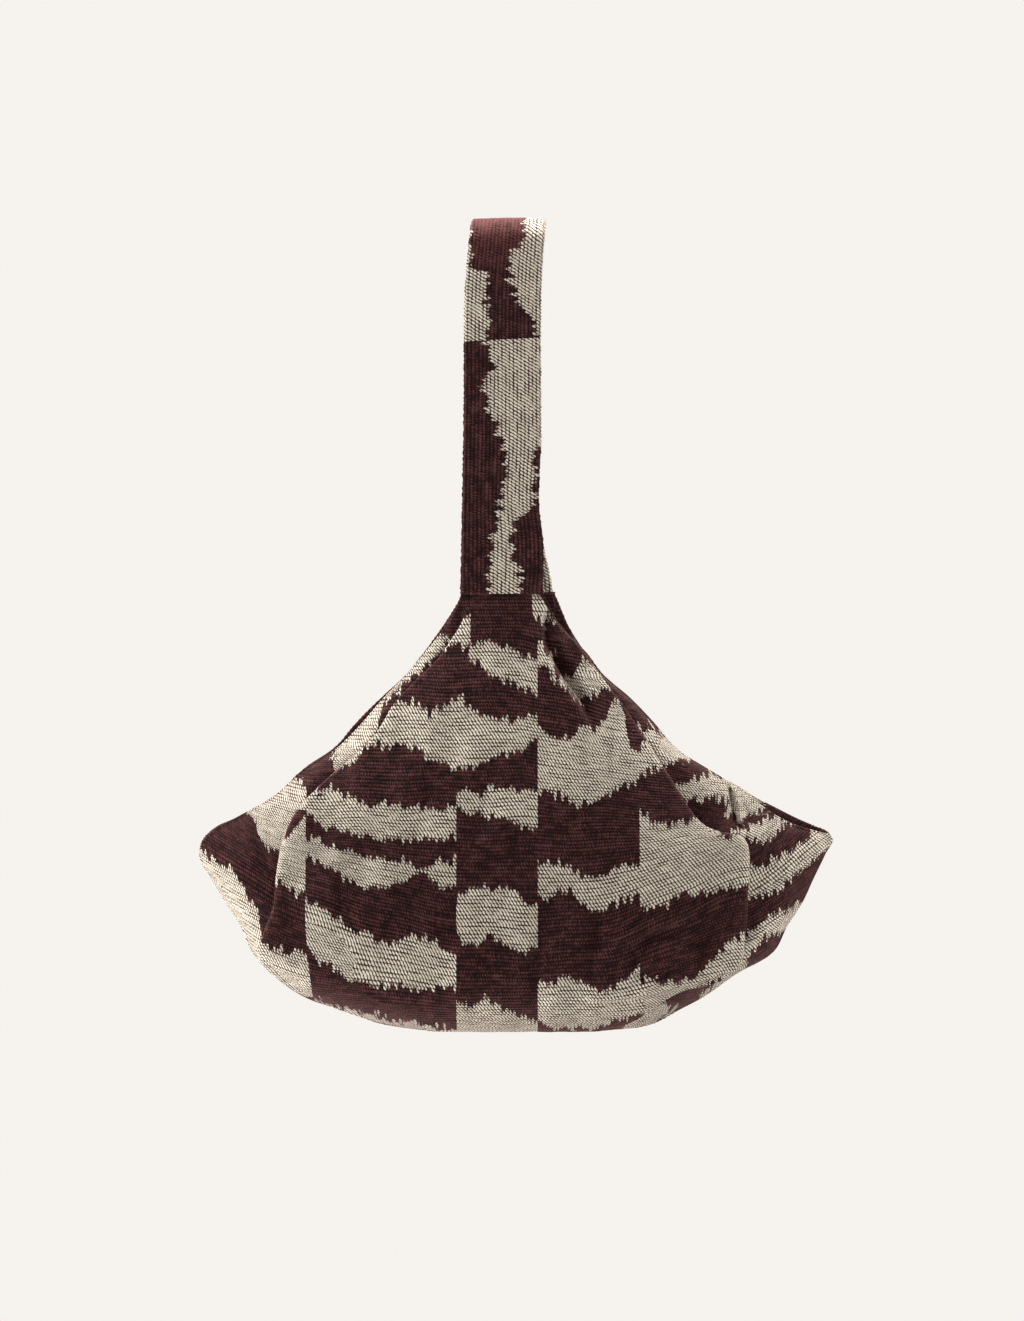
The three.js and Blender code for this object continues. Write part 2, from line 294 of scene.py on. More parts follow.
def gridPiece(name, points, material, weave=None, stripe=None, ring=False, flip=False):
    # A mesh from a grid of points in mm, with the cloth's coordinates and the stripe field on its corners.
    rows, columns = points.shape[:2]
    quads = gridFaces(rows, columns, ring)
    order = [3, 2, 1, 0] if flip else [0, 1, 2, 3]
    corners = quads.reshape(-1, 4)[:, order]
    mesh = bpy.data.meshes.new(name)
    mesh.from_pydata((points * mm).reshape(-1, 3), [], corners, shade_flat=False)
    if weave is not None:
        layer = mesh.uv_layers.new(name="weave")
        layer.data.foreach_set("uv", weave.reshape(-1, 4, 2)[:, order].astype(np.float32).ravel())
    if stripe is not None:
        layer = mesh.attributes.new("stripe", "FLOAT", "CORNER")
        layer.data.foreach_set("value", stripe.reshape(-1, 4)[:, order].astype(np.float32).ravel())
    mesh.validate()
    mesh.materials.append(material)
    return addObject(name, mesh)


# The bag

# In the zones below, a pair of numbers is where a smooth step starts and ends.
bag = {
    "rowsPerRib": 3,
    "ribHeight": 0.28,
    "yarnRough": 0.16,
    "yarnWaves": [(0.6, 2.9), (0.4, 1.3)],  # share, and length / tau
    "yarnSeeds": {"front": 11, "back": 12},
    "evenZones": ((0.5, 0.7), (1.4, 1.7)),  # how far apart rows may lie and still carry ribs
    "finePowers": (0, 2),  # a rib is painted as two to the power of these, at least and at most
    "wrinkles": [(1.1, 38, 55), (0.385, 15, 26)],  # height, and wavelengths across and up
    "wrinkleSeeds": {"front": (4, 5), "back": (9, 10)},
    "wrinkleEdge": (0, 14),
    "wrinkleTop": (0.65, (225, 243)),
    "wrinkleDepth": 20,
    "bellyEdge": 0.86,  # depth at the belly's sides as a share of its middle
    "bellyPower": 3.5,
    # how the rows climb towards a side: slope, and the places across where it starts and is reached
    "climbs": {"left": [(0.29, 8, 60)], "right": [(0.46, 30, 86), (-0.18, 106, 134)]},
    "climbZones": ((0, 55), (55, 145)),
    "wingClimbs": {"left": (0.32, 105, 150), "right": (0.42, 134, 150)},
    "wingClimbTop": (0.3, (90, 230)),
    "droop": (0.24, 8, ((105, 205), (232, 262))),  # slope, where it starts across, and zones
    "wave": (1.1, 52, 80, 17, ((0, 25), (225, 255))),  # height, wavelengths, seed and zones
    "keelRound": (38, 16),  # height over which the lower edge is rounded, in the middle and at the sides
    "keelZone": (40, 180),
    "keelPower": 2.4,
    "wingPowers": (1.7, 0.8),
    "foldHalf": 2.5,
    "foldShare": 0.35,  # the most that a fold's half and a lip's radius take of a narrow wing
    "lipShare": 0.3,
    "foldTuck": 3.8,
    "tuckRise": (2, 8),  # the step from wing to belly at which the tuck starts, and what makes it full
    "leastWing": 1.5,
    "least": 0.05,  # a column's least width, and a facing's least depth
    "lipRadius": 1.5,
    "facing": 12,
    "facingGap": 0.3,
    "edgeSteps": (6, 5, 4),  # of a lip's roll, and of the facing at the sides and at the top
    "topHeight": 264,
    "tips": {"left": 108, "right": 116},
    "tipZone": (-2, 7),
    "shutLip": (1.2, 0.6),  # half gap and radius of the lips below the tips, where the halves meet
    "gap": (7, 14.8),  # from the middle plane to the outside of a lip, at the tips and under the strap
    # columns in each stretch of a row, from left to right
    "columns": {"wingLeft": 20, "stepLeft": 10, "leftEdge": 8, "left": 30, "middle": 22, "right": 36,
                "rightEdge": 22, "stepRight": 10, "wingRight": 42},
    "breaks": [-120, -31, 17, 77],  # where stripes jump
    # how far three of them lean in, and over which heights
    "leans": [(0, 4, (48, 12)), (1, 8, (195, 235)), (2, -3.2, (236, 256))],
    # by height: the depth of the middle, and of the valleys behind the folds as a share of the belly's
    "depth": [(0, 60), (62, 66), (130, 57), (200, 37), (264, 15)],
    "valley": [(0, 1), (14, 0.94), (30, 0.8), (50, 0.68), (70, 0.6), (120, 0.55), (190, 0.62), (235, 0.72),
               (264, 1)],
}

# Curves of the bag as (across, height), climbing from the bottom
keel = {
    "left": [(-44, 0), (-79, 5), (-100, 12.6), (-122, 20), (-142, 34), (-155, 49), (-161, 63), (-170, 77),
             (-179, 92), (-186, 106)],
    "right": [(52, 0), (88, 5), (102, 12.6), (116, 20), (136, 34), (160, 49), (167, 63), (176, 77),
              (183, 92), (190, 106.5), (194, 116)],
}
lips = {
    "front": {
        "left": [(-184, 113), (-178, 120), (-164, 128), (-140, 142), (-124, 156.6), (-103, 170), (-88, 185),
                 (-75, 200), (-61.5, 214), (-49, 228.6), (-38, 243), (-30.5, 257), (-28, 264)],
        "right": [(192, 117.6), (186, 119.7), (173, 123.5), (162, 128.5), (149, 137.5), (134, 148.6),
                  (120.6, 156.6), (99, 171), (87, 185), (72.6, 200), (56.4, 214), (45, 228.6), (38, 235),
                  (29, 246), (23, 257), (20, 264)],
    },
    "back": {
        "left": [(-185, 113), (-178, 121), (-164, 128), (-140, 142), (-124, 157), (-104, 171), (-92, 185),
                 (-77, 200), (-62, 214), (-50, 229), (-40, 243), (-31, 257), (-27, 264)],
        "right": [(192, 119), (183, 123.2), (173, 127.6), (161, 133.6), (147, 141), (134, 149),
                  (120, 155.6), (99, 170), (87, 185), (72.6, 200), (56.4, 214), (45, 228.6), (36, 243),
                  (30, 257), (27, 264)],
    },
}
folds = {
    "left": [(-38, 0), (-74, 6), (-95, 13), (-115, 21), (-134, 34), (-145.5, 47), (-143, 60), (-137, 76),
             (-135, 96), (-131.5, 115), (-125, 130.5), (-110, 148), (-94.5, 161.5), (-78, 177),
             (-63.5, 199.5), (-54, 209.5), (-40.5, 223.4), (-34, 234), (-27, 248), (-24, 264)],
    "right": [(46, 0), (72, 7), (85, 16), (95, 24.5), (106, 29), (118, 31), (127, 35), (132, 39.5),
              (135.5, 46), (136.5, 56), (138, 70), (138.7, 85), (139.5, 98), (139.5, 108), (138, 115),
              (133, 119), (125, 120.5), (113, 125), (105.5, 133), (98, 145), (87, 162), (77, 178),
              (58, 206), (38, 234), (17, 264)],
}
sign = {"left": -1.0, "right": 1.0}


def ramp(reach, start, end):
    # The integral of a smooth step: level before start, slope 1 after end.
    t = clamp((reach - start) / (end - start))
    return (end - start) * (t**3 - t**4 / 2) + np.maximum(reach - end, 0.0)


def rowLift(x, v):
    # How far a row has climbed at a place across: slopes low on the belly that fade higher up, and one in
    # the wings. Near the top the rows droop to the right, where the cloth hangs from the strap.
    topShare, topZone = bag["wingClimbTop"]
    low = between(v, *bag["climbZones"])
    high = blendIn(1.0, topShare, smoothStep(*topZone, v))
    lift = 0.0
    for side in sign:
        reach = sign[side] * x
        for slope, start, end in bag["climbs"][side]:
            lift = lift + slope * ramp(reach, start, end) * low
        slope, start, end = bag["wingClimbs"][side]
        lift = lift + slope * ramp(reach, start, end) * high
    slope, start, zones = bag["droop"]
    lift = lift - slope * between(v, *zones) * np.maximum(x - start, 0.0)
    size, wide, tall, seed, zones = bag["wave"]
    return lift + size * ripple(x / wide, v / tall, seed) * between(v, *zones)


def rowHeight(x, v):
    # A row's height on the middle line, with what it has climbed.
    return v + rowLift(x, v)


def rowMeets(curve, v, samples=900):
    # The place across where each row crosses a curve that climbs from the bottom, between its two points
    # of which one lies below the row and the next above it.
    x, height = smoothCurve(curve, samples).T
    above = height - rowHeight(x, v)
    after = np.clip((above < 0).sum(axis=1, keepdims=True), 1, len(x) - 1)
    low = np.take_along_axis(above, after - 1, axis=1)
    high = np.take_along_axis(above, after, axis=1)
    share = clamp(-low / np.maximum(high - low, tiny))
    return blendIn(x[after - 1], x[after], share)


def lowEdge(x):
    # The height of the bag's lower edge at a place across, read off its two curves.
    across, up = np.vstack([smoothCurve(keel["left"])[::-1], smoothCurve(keel["right"])]).T
    return np.interp(x, across, up)


def fullDepth(x, height):
    # The middle's depth at that height, rounded off to nothing at the lower edge by a superellipse.
    power = bag["keelPower"]
    rounded = blendIn(*bag["keelRound"], smoothStep(*bag["keelZone"], np.abs(x)))
    t = clamp((height - lowEdge(x)) / rounded)
    return readOff(bag["depth"], height) * (1 - (1 - t) ** power) ** (1 / power)


def bellyDepth(x, height, foldLeft, foldRight):
    # The full depth, less towards the side folds by a high power of the share of the way there.
    share = np.clip((2 * x - foldLeft - foldRight) / (foldRight - foldLeft), -1.0, 1.0)
    return fullDepth(x, height) * (1 - (1 - bag["bellyEdge"]) * np.abs(share) ** bag["bellyPower"])


def wingDepth(x, height, out, lip):
    # From the valley behind the fold, out = 0, down to the lip's own depth at the outline, out = 1, by
    # one less a power of out, raised to a power.
    sharp, blunt = bag["wingPowers"]
    valley = fullDepth(x, height) * bag["bellyEdge"] * readOff(bag["valley"], height)
    return blendIn(lip, np.maximum(valley, lip), (1 - clamp(out) ** sharp) ** blunt)


def rowValues(samples=2000):
    # Row heights on the middle line, evenly spaced along the belly's profile there.
    height = np.linspace(0.0, bag["topHeight"], samples)
    depth = fullDepth(np.zeros_like(height), height)
    length = np.concatenate([[0.0], np.cumsum(np.hypot(np.diff(height), np.diff(depth)))])
    spacing = ribPitch / bag["rowsPerRib"]
    count = int(length[-1] / spacing)
    marks = np.arange(count + 1) * spacing
    return np.interp(marks, length, height), marks


# Folds and hollows of the front half. A bump is its height, and its middle and half width across.
drape = {
    # the crease that runs down from the strap's foot: its line as (height, across), and bumps beside it
    "creaseLine": [(176, 52), (185, 47), (196, 41), (213, 30.5), (225, 23.5), (235, 20), (245, 18),
                   (262, 14)],
    "creaseZones": ((176, 205), (246, 258)),
    "creaseBumps": [(-3.5, 1, 2), (1.5, 10, 4.5), (1.2, -3, 3)],
    "tuck": (8, (-0.5, 3), 12),  # depth to its right, where it drops, and how slowly it comes up
    # bumps, each with its middle and half width in height too
    "hollows": [(-3, 51, 6, 60, 18), (-4.5, 110, 11, 53, 13), (-3.2, -12, 9, 237, 14),
                (1.5, 52, 4, 168, 22), (-1.5, 60, 4, 168, 22)],
    "lowHollow": (-1.6, 17, 5),
    "lowZone": (60, 130),
    # slanting furrows low on the right, where the cloth is drawn towards the fold
    "furrowPlace": (92, 30),
    "furrowZones": ((12, 30), (72, 96)),
    "furrowSlant": (0.45, 3, 17),  # slope, and height and length / tau of its wave
    "furrows": (1, 21),  # height and wavelength
    "furrowNoise": (1.5, 10, 60, 41),  # height, wavelengths and seed
    # the stay behind the strap's foot keeps the cloth from sinking in there
    "stay": (0.8, (216, 240), (19, 23)),
    # the pinch in the right wing: where its line crosses a height, its slope, and bumps beside it
    "pinch": (133, 147, 0.16),
    "pinchZones": ((122, 128), (144, 149)),
    "pinchBumps": [(2.4, 2.2, 1.8), (-5, -1.2, 1.2)],
}


def bumps(x, table):
    # The sum of bells of the given heights, middles and half widths.
    return sum(high * bell(x, middle, half) for high, middle, half in table)


def creases(x, height):
    # Depth added by the belly's folds and hollows: bells across a line or a place, a step that comes up
    # again as an exponential, and sine waves along a slant.
    right = x - readOff(drape["creaseLine"], height)
    deep, drop, back = drape["tuck"]
    tucked = deep * smoothStep(*drop, right) * np.exp(-np.maximum(right - drop[1], 0) / back)
    added = (bumps(right, drape["creaseBumps"]) - tucked) * between(height, *drape["creaseZones"])
    added += bumps(x, [drape["lowHollow"]]) * (1 - smoothStep(*drape["lowZone"], height))
    for high, middle, half, level, tall in drape["hollows"]:
        added += high * bell(x, middle, half) * bell(height, level, tall)
    slope, swing, length = drape["furrowSlant"]
    slant = height - slope * x + swing * np.sin(x / length)
    ridge, pitch = drape["furrows"]
    rough, along, across, seed = drape["furrowNoise"]
    furrows = ridge * np.sin(math.tau * slant / pitch) + rough * ripple(slant / along, x / across, seed)
    added += furrows * bell(x, *drape["furrowPlace"]) * between(height, *drape["furrowZones"])
    held, up, out = drape["stay"]
    stiff = 1 - held * smoothStep(*up, height) * (1 - smoothStep(*out, x))
    return np.where(added < 0, added * stiff, added)


def wingFolds(x, height):
    # The pinch in the right wing: a slit with a thin rolled edge at its right, as bells across a line.
    place, level, slope = drape["pinch"]
    line = place + slope * (level - height)
    return bumps(x - line, drape["pinchBumps"]) * between(height, *drape["pinchZones"])


# Pale stripes of the weave. Each band is a list of (across, upper edge, lower edge), in mm.
frontBands = {
    "wingLeft": [
        [(-70, 214, 203.5), (-66, 222, 207.5), (-60, 226, 212.5), (-54, 230, 216.5), (-46, 235, 223),
         (-41, 236, 229.5)],
        [(-101, 176, 157), (-95, 186, 160), (-88, 197, 165), (-82, 203, 171), (-79, 206, 181),
         (-75, 210, 194.5), (-69, 214, 204.5)],
        [(-152, 138, 130), (-148, 143, 116), (-137, 150, 109), (-129, 153, 111), (-122, 147, 119),
         (-117, 138, 129)],
        [(-186, 110, 79), (-176, 101, 73), (-167, 100, 61), (-161, 92, 49), (-155, 82, 40), (-149, 70, 34),
         (-146, 58, 28)],
    ],
    "leftEdge": [
        [(-136, 115, 91), (-131, 118, 90), (-125, 125, 86), (-116, 129, 86)],
        [(-152, 56, 13), (-148, 54, 13), (-131, 49, 13), (-125, 51, 13), (-116, 46, 13)],
    ],
    "left": [
        [(-41, 248, 230), (-32, 249, 232), (-22, 247, 233)],
        [(-98, 160, 158), (-87, 187, 169), (-77, 199, 173), (-68, 197, 173), (-57, 196, 171), (-47, 192, 166),
         (-34, 197, 160), (-29, 199, 160)],
        [(-121, 140, 135), (-106, 146, 125), (-95, 142, 121), (-85, 135, 120), (-68, 137, 118),
         (-53, 134, 117), (-31, 134, 119)],
        [(-124, 118, 111), (-113, 116, 105), (-102, 112, 99), (-92, 108, 92), (-82, 106, 88), (-71, 104, 91),
         (-59, 102, 96), (-53, 99, 98)],
        [(-49, 99, 98), (-43, 103, 92), (-38, 104, 89), (-31, 103, 89)],
        [(-122, 83, 64), (-119, 80, 56), (-111, 77, 45), (-95, 65, 35), (-78, 58, 32), (-68, 58, 31),
         (-53, 59, 29), (-43, 57, 29), (-38, 50, 29), (-31, 46, 31)],
        [(-116, 19, -5), (-101, 16, -5), (-85, 12, -5), (-65, 9, -5), (-43, 3, -5), (-31, 1, -5)],
    ],
    "middle": [
        [(-25, 232, 225), (-14, 233, 217), (-3, 230, 210), (6, 224, 209), (11, 223, 205), (17, 223, 201)],
        [(-32, 199, 159), (-29, 199, 159), (-22, 193, 160), (-11, 187, 164), (4, 188, 169), (11, 189, 174),
         (17, 190, 179)],
        [(-32, 144, 137), (-23, 145, 133), (-14, 145, 130), (2, 147, 129), (6, 146, 125), (17, 143, 122)],
        [(-32, 81, 65), (-26, 87, 56), (-17, 89, 59), (-8, 89, 59), (4, 87, 53), (11, 79, 50), (17, 77, 56)],
        [(-32, 20, -8), (-23, 17, -8), (-14, 23, -8), (-5, 18, -8), (4, 12, -8), (17, 8, -8)],
    ],
    "right": [
        [(6, 265, 262), (10, 266, 259), (15, 267, 249), (20, 267, 245), (28, 259, 246), (34, 251, 246)],
        [(16, 231, 220), (20, 231, 218), (22.5, 226, 219)],
        [(33, 211, 209), (36, 213, 204), (39, 215, 201), (42, 222, 201), (47, 222, 202), (52, 217, 202),
         (55, 213, 205), (61, 207, 206)],
        [(16, 182, 145), (19, 181, 145), (28, 176, 146), (37, 176, 141), (41, 182, 138), (52, 182, 140),
         (57, 187, 142), (63, 199, 146), (67, 197, 148), (69, 187, 150), (71, 172, 151), (79, 168, 155)],
        [(16, 102, 85), (19, 103, 83), (28, 102, 85), (38, 98, 86), (47, 94, 77), (56, 95, 76), (65, 102, 82),
         (79, 103, 85)],
        [(13, 33, 8), (26, 32, 5), (34, 37, 4), (45, 30, 4), (53, 26, 5), (63, 29, 9), (73, 38, 13),
         (79, 46, 15)],
    ],
    "rightEdge": [
        [(76, 168, 155), (79, 170, 156), (82, 176, 157), (88, 172, 157), (92, 164, 159)],
        [(76, 131, 79), (86, 125, 77), (96, 125, 83), (111, 128, 87), (124, 119, 86), (132, 116, 88),
         (136, 124, 88), (145, 123, 90)],
        [(76, 34, 14), (98, 32, 16), (109, 34, 26), (113, 36, 28), (120, 46, 31), (129, 55, 35),
         (143, 65, 41)],
    ],
    "wingRight": [
        [(79, 182, 167), (85, 180, 164), (91, 178, 161), (106, 175, 164), (115, 172, 165)],
        [(100, 147, 139), (109, 150, 139), (122, 154, 140), (128, 153, 141), (137, 151, 139), (146, 147, 131),
         (154, 145, 135)],
        [(134, 149, 133), (136.5, 150, 127), (139.5, 148, 129)],
        [(137, 121, 116), (141, 122, 116), (151, 127, 116), (160, 128, 121), (166, 128, 126)],
        [(133, 96, 82), (141, 97, 82), (151, 100, 83), (158, 102, 85), (165, 106, 91), (172, 112, 96),
         (182, 119, 104), (196, 124, 113)],
        [(131, 55, 33), (143, 61, 47), (151, 67, 58), (165, 74, 61), (175, 76, 65), (182, 77, 71)],
        [(72, 12, 2), (84, 20, 4), (89, 21, 8), (95, 17, 10)],
        [(118, 22, 17), (122, 28, 17), (126, 33, 17), (131, 37, 20), (139, 48, 28)],
    ],
}

backStripes = {
    "count": (-1, 6),
    "points": 9,
    "period": 54,
    "thickness": 21,
    "swell": 7,
    "wave": (21, 1.7, 2.3),  # length / tau, and the turn from one stripe and from one column to the next
    "swelling": (0.5, 15),  # share of the swell by which the thickness varies, and length / tau
    "climb": (0.16, 60),  # how far the stripes rise towards the sides, and from where
    # name, first and last place across, height of the lowest stripe's middle
    "columns": [("wingLeft", -200, -126, 30), ("leftEdge", -156, -112, 8), ("left", -126, -28, 34),
                ("middle", -34, 20, 12), ("right", 14, 80, 40), ("rightEdge", 72, 148, 18),
                ("wingRight", 130, 200, 32)],
}


def makeBackBands():
    # Stripes at even heights, with sine waves in their middle and their thickness.
    length, byStripe, byColumn = backStripes["wave"]
    share, swellLength = backStripes["swelling"]
    slope, climbFrom = backStripes["climb"]
    swell = backStripes["swell"]
    bands = {}
    for index, (name, first, last, lowest) in enumerate(backStripes["columns"]):
        across = np.linspace(first, last, backStripes["points"])
        climb = slope * np.maximum(np.abs(across) - climbFrom, 0.0)
        bands[name] = []
        for k in range(*backStripes["count"]):
            wave = swell * np.sin(across / length + byStripe * k + byColumn * index)
            middle = lowest + backStripes["period"] * k + climb + wave
            half = backStripes["thickness"] / 2 + share * swell * np.cos(across / swellLength + k + index)
            bands[name].append(np.stack([across, middle + half, middle - half], axis=1))
    return bands


def stripeField(bands, place, value, farOutside=-60.0, endSlack=3.0):
    # How far a point lies inside the nearest band, in mm: the least of its distances from the upper edge,
    # the lower edge and the ends, a little past them. It is negative outside all bands.
    field = np.full(place.shape, farOutside)
    for band in bands:
        at, upper, lower = np.array(band, float).T
        inside = np.minimum(np.interp(place, at, upper) - value, value - np.interp(place, at, lower))
        beyond = np.maximum(at[0] - place, place - at[-1])
        inside = np.where(beyond > 0, np.minimum(inside, endSlack - beyond), inside)
        field = np.maximum(field, inside)
    return field


def bagSurface(face):
    # One half of the bag as a grid of (across, depth, height). A row's points lie evenly between two knots.
    # Its depth is the wing's or the belly's, with a smooth step between them at the fold, where a sine
    # moves the points sideways into a tuck. A half circle for the lip's roll and a flat facing follow at
    # both ends of a row, and above the last one.
    v, marks = rowValues()
    keep = v <= bag["topHeight"] - bag["lipRadius"]
    marks = marks[keep]
    v = v[keep][:, None]
    shutGap, shutRadius = bag["shutLip"]
    ends, inner, valley, rim, lip, radius, opened = ({} for k in range(7))
    for side, s in sign.items():
        end = rowMeets(keel[side] + lips[face][side], v)
        width = np.maximum(s * (end - rowMeets(folds[side], v)), bag["leastWing"])
        half = np.minimum(bag["foldHalf"], bag["foldShare"] * width)
        tip = bag["tips"][side]
        height = rowHeight(end, v)
        rise = clamp((height - tip) / (bag["topHeight"] - tip))
        opened[side] = smoothStep(*bag["tipZone"], height - tip)
        lip[side] = blendIn(shutGap, blendIn(*bag["gap"], rise), opened[side])
        radius[side] = blendIn(shutRadius, bag["lipRadius"], opened[side])
        radius[side] = np.minimum(radius[side], bag["lipShare"] * width)
        ends[side] = end
        inner[side] = end - s * (width + half)
        valley[side] = end - s * (width - half)
        rim[side] = end - s * radius[side]
    breaks = [place + 0 * v for place in bag["breaks"]]
    for k, reach, zone in bag["leans"]:
        breaks[k] += reach * smoothStep(*zone, v)
    least = bag["least"]
    knots = [rim["left"], valley["left"], inner["left"]]
    for k, place in enumerate(breaks):
        first = inner["left"] + least * (k + 1)
        knots.append(np.clip(place, first, inner["right"] - least * (len(breaks) - k)))
    knots = np.hstack(knots + [inner["right"], valley["right"], rim["right"]])

    names = list(bag["columns"])
    counts = list(bag["columns"].values())
    stretch = np.append(np.repeat(np.arange(len(names)), counts), len(names) - 1)
    share = np.concatenate([np.arange(count) / count for count in counts] + [[1.0]])
    x = blendIn(knots[:, stretch], knots[:, stretch + 1], share)
    height = rowHeight(x, v)

    def belly(x, height):
        depth = bellyDepth(x, height, inner["left"], inner["right"])
        return depth + creases(x, height) if face == "front" else depth

    def wing(side, x, height):
        depth = wingDepth(x, height, (x - valley[side]) / (rim[side] - valley[side]), lip[side])
        return depth + wingFolds(x, height) if face == "front" else depth

    depth = belly(x, height)
    start, rise = bag["tuckRise"]
    for side, s in sign.items():
        at = stretch == names.index("wing" + side.title())
        depth[:, at] = wing(side, x[:, at], height[:, at])
        at = stretch == names.index("step" + side.title())
        t = share[at] if side == "left" else 1 - share[at]
        low = wing(side, valley[side], rowHeight(valley[side], v))
        high = belly(inner[side], rowHeight(inner[side], v))
        depth[:, at] = blendIn(low, high, smoothStep(0.0, 1.0, t))
        tuck = bag["foldTuck"] * clamp((high - low - start) / rise)
        x[:, at] -= s * tuck * np.sin(math.tau * t)

    sizes = zip(bag["wrinkles"], bag["wrinkleSeeds"][face])
    wrinkle = sum(size * ripple(x / wide, height / tall, seed) for (size, wide, tall), seed in sizes)
    held, zone = bag["wrinkleTop"]
    fromEnd = np.minimum(x - ends["left"], ends["right"] - x)
    calm = smoothStep(*bag["wrinkleEdge"], fromEnd) * (1 - held * smoothStep(*zone, height))
    depth += wrinkle * calm * clamp(depth / bag["wrinkleDepth"])

    facing = bag["facing"]
    gap = bag["facingGap"]
    turns, sideways, upwards = (np.linspace(0.0, 1.0, count + 1)[1:] for count in bag["edgeSteps"])
    turns = math.pi * turns
    grid = np.stack([x, depth, height], axis=2)
    for side, s in sign.items():
        r = radius[side]
        flat = rim[side] - s * (facing * opened[side] + gap) * sideways
        flatDepth = np.maximum(lip[side] - 2 * r - gap, least) + 0 * flat
        across = np.hstack([rim[side] + s * r * np.sin(turns), flat])
        inward = np.hstack([lip[side] - r * (1 - np.cos(turns)), flatDepth])
        edge = np.stack([across, inward, rowHeight(across, v)], axis=2)
        grid = np.concatenate([edge[:, ::-1], grid] if side == "left" else [grid, edge], axis=1)

    top = grid[-1]
    r = bag["lipRadius"]
    over = [top + [0.0, -r * (1 - math.cos(turn)), r * math.sin(turn)] for turn in turns]
    over += [top + [0.0, -2 * r - gap, -facing * t] for t in upwards]
    grid = np.concatenate([grid, np.stack(over)], axis=0)
    marks = np.append(marks, marks[-1] + (np.arange(len(over)) + 1) * ribPitch / bag["rowsPerRib"])

    # the stripe column of each gap between grid columns: a fold's crest has that of the cloth beside it
    rename = {"stepLeft": ("wingLeft", "crestLeft"), "stepRight": ("crestRight", "wingRight")}
    column = [rename.get(names[k], (names[k],) * 2)[int(t >= 0.5)] for k, t in zip(stretch[:-1], share)]
    column = ["wingLeft"] * edge.shape[1] + column + ["wingRight"] * edge.shape[1]
    column = np.array(column)[None, :].repeat(len(grid), axis=0)
    crests = {"crestLeft": ("leftEdge", "left", inner["left"] > breaks[0]),
              "crestRight": ("rightEdge", "right", inner["right"] < breaks[-1])}
    for name, (outside, beside, past) in crests.items():
        past = np.append(past, np.full(len(over), True))[:, None]
        column = np.where(column == name, np.where(past, beside, outside), column)
    return grid, marks, column


def placeBag(grid, face):
    # From (across, depth, height) to x, y and z
    side = -1.0 if face == "front" else 1.0
    return np.stack([grid[..., 0], side * grid[..., 1], grid[..., 2] + bagBottom], axis=-1)


liningCut = {
    "every": (4, 2),  # rows and columns of the cloth for one of the lining
    "rows": 6,  # rows and columns of the cloth left out next to the lips
    "columns": 4,
    "neighbours": (1, 2, 4, 5),  # columns to both sides over which the least depth counts
    "least": 0.3,
    "inset": 4,
    "lifted": (3.5, (25, 0)),  # how far its lower edge lies up, and at which depths
    "narrowed": 0.975,
    "facingClear": 2.3,
    "facingReach": 4,
}


